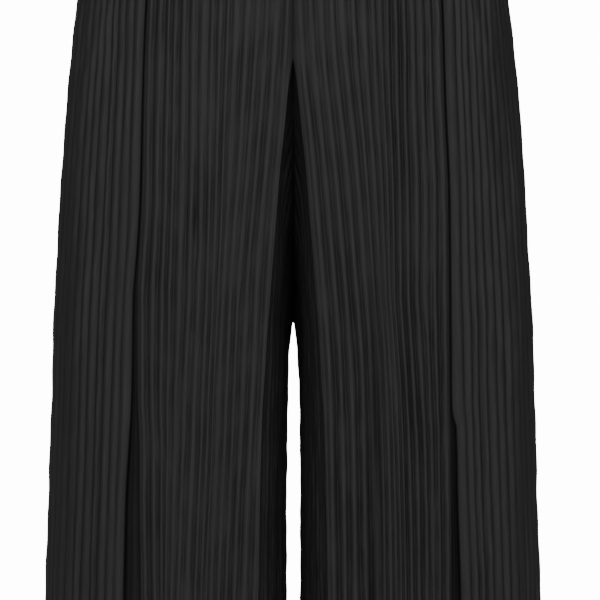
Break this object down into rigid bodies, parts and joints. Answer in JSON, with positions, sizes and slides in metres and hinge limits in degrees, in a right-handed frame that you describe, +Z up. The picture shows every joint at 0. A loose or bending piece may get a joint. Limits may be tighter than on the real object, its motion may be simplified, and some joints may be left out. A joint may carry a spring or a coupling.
{
  "type": "hakama trousers",
  "caption": "Hollow wide-legged trousers of fine lengthwise pleats, with a deep knife pleat on each front and an elastic waistband.",
  "frame": {"origin": "centre of the waistband's ring at half its height, where the garment is held", "axes": "+Z up to the waist, -Y to the front, +X to the right of someone who looks at the front"},
  "size_m": [0.5104, 0.2446, 0.985],
  "materials": {
    "pleated_cloth": "near-black charcoal polyester, heat-set in fine pleats, soft sheen",
    "band_cloth": "the same near-black cloth, folded over elastic"
  },
  "bodies": {
    "root": {"waistband": "band_cloth", "front_left": "pleated_cloth", "front_right": "pleated_cloth", "back_left": "pleated_cloth", "back_right": "pleated_cloth"}
  },
  "joints": []
}
